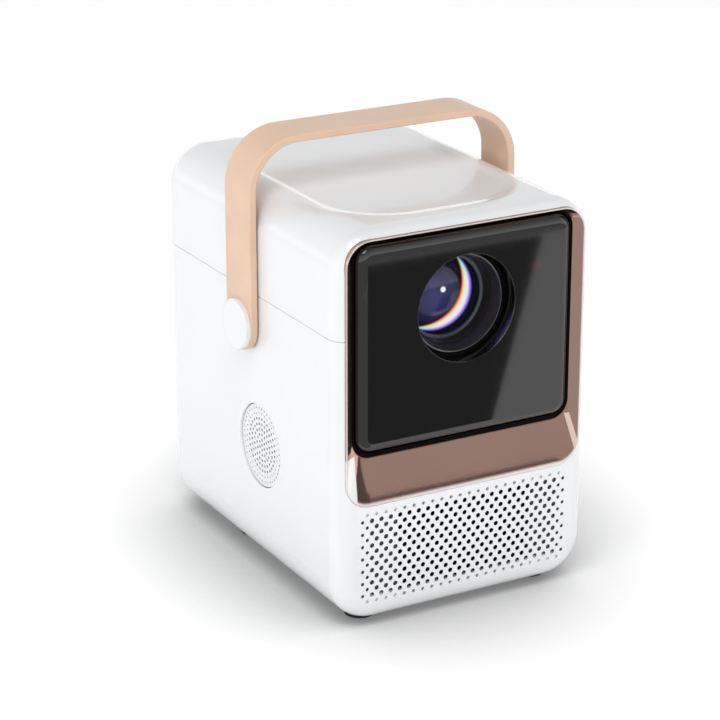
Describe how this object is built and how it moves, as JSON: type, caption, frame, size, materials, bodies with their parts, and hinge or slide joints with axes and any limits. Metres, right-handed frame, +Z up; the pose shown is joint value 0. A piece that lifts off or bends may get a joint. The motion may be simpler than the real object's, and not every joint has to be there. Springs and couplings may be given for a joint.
{
  "type": "home projector",
  "caption": "Tall rounded white home projector with a rose-gold framed dark lens panel, perforated air grille, side speakers and a tan carry strap.",
  "frame": {"origin": "centre of the footprint, on the surface the feet stand on", "axes": "+Z up, -Y the way the projector faces, +X to the right for someone looking along +Y"},
  "size_m": [0.1456, 0.1805, 0.2123],
  "materials": {
    "gloss_white": "glossy injection-moulded white ABS",
    "rose_chrome": "rose-gold vacuum plating, mirror bright",
    "tinted_acrylic": "tinted near-black acrylic, polished",
    "clear_glass": "anti-reflection coated flat glass",
    "coated_lens": "lens glass with a blue-violet coating",
    "clear_acrylic": "clear moulded acrylic",
    "black_plastic": "fine matte black moulding",
    "satin_black": "satin black moulding",
    "leather_tan": "smooth peach-tan leather cover",
    "white_grille": "semi-gloss white moulding",
    "rubber_black": "soft black rubber",
    "aluminium": "plain extruded aluminium",
    "steel": "zinc-plated steel",
    "brass": "turned brass",
    "board_green": "green solder-mask laminate",
    "paper_cone": "black pressed paper",
    "ferrite": "dark sintered ferrite",
    "led_yellow": "phosphor yellow",
    "steel_shell": "bright plated connector shell",
    "coil_yellow": "yellow tape-wrapped core",
    "grey_plastic": "light grey moulding"
  },
  "bodies": {
    "housing": {"audio_jack": "satin_black", "base_screws": "steel", "board_cooler": "aluminium", "button_spring": "steel", "button_switch": "satin_black", "condenser_lens": "clear_acrylic", "engine_housing": "black_plastic", "engine_screws": "steel", "exhaust_fan_frame": "black_plastic", "fan_screws": "steel", "feet": "rubber_black", "focus_bracket": "steel", "focus_motor": "steel", "front_bezel": "rose_chrome", "front_fresnel": "clear_acrylic", "heat_sink": "aluminium", "intake_fan_frame": "black_plastic", "ir_receiver": "satin_black", "lcd_panel": "satin_black", "led_board": "aluminium", "led_emitter": "led_yellow", "lens_window": "tinted_acrylic", "light_shroud": "black_plastic", "lower_shell": "gloss_white", "main_board": "board_green", "pivot_pins": "steel", "pivot_washers": "white_grille", "power_inlet": "black_plastic", "rear_fresnel": "clear_acrylic", "rear_panel": "grey_plastic", "speaker_basket_left": "satin_black", "speaker_basket_right": "satin_black", "speaker_cone_left": "paper_cone", "speaker_cone_right": "paper_cone", "speaker_grille_left": "white_grille", "speaker_grille_right": "white_grille", "speaker_magnet_left": "ferrite", "speaker_magnet_right": "ferrite", "supply_board": "board_green", "supply_capacitor": "satin_black", "supply_cooler": "aluminium", "top_cover": "gloss_white", "transformer": "coil_yellow", "tripod_insert": "brass", "usb_port": "steel_shell", "video_port": "steel_shell", "window_glass": "clear_glass"},
    "handle": {"handle_strap": "leather_tan", "pivot_cap_left": "gloss_white", "pivot_cap_right": "gloss_white"},
    "focus_barrel": {"lens_barrel": "black_plastic", "front_lens": "coated_lens", "retaining_ring": "satin_black", "rear_lens": "clear_acrylic", "focus_rack": "satin_black"},
    "focus_drive": {"focus_pinion": "brass"},
    "intake_rotor": {"intake_fan_rotor": "satin_black"},
    "exhaust_rotor": {"exhaust_fan_rotor": "satin_black"},
    "button": {"power_button": "gloss_white"}
  },
  "joints": [
    {"name": "handle_pivot", "type": "hinge", "parent": "housing", "child": "handle", "pos_m": [0, -0.0038, 0.1229], "axis": [1, 0, 0], "range_deg": [-32, 32]},
    {"name": "focus_slide", "type": "slide", "parent": "housing", "child": "focus_barrel", "axis": [0, 1, 0], "range_m": [-0.001, 0.004]},
    {"name": "focus_pinion_spin", "type": "hinge", "parent": "housing", "child": "focus_drive", "pos_m": [0, -0.062, 0.1131], "axis": [1, 0, 0], "range_deg": [-48, 12]},
    {"name": "intake_fan_spin", "type": "hinge", "parent": "housing", "child": "intake_rotor", "pos_m": [0, -0.08, 0.0335], "axis": [0, 1, 0], "continuous": true},
    {"name": "exhaust_fan_spin", "type": "hinge", "parent": "housing", "child": "exhaust_rotor", "pos_m": [0, 0.08, 0.134], "axis": [0, 1, 0], "continuous": true},
    {"name": "power_button_press", "type": "slide", "parent": "housing", "child": "button", "axis": [0, -1, 0], "range_m": [0, 0.0012], "stiffness_N_per_m": 500, "springref_m": -0.001, "deforming": ["button_spring"]}
  ],
  "couplings": [
    {"joint": "focus_pinion_spin", "follows": "focus_slide", "rad_per_m": -208.33}
  ]
}
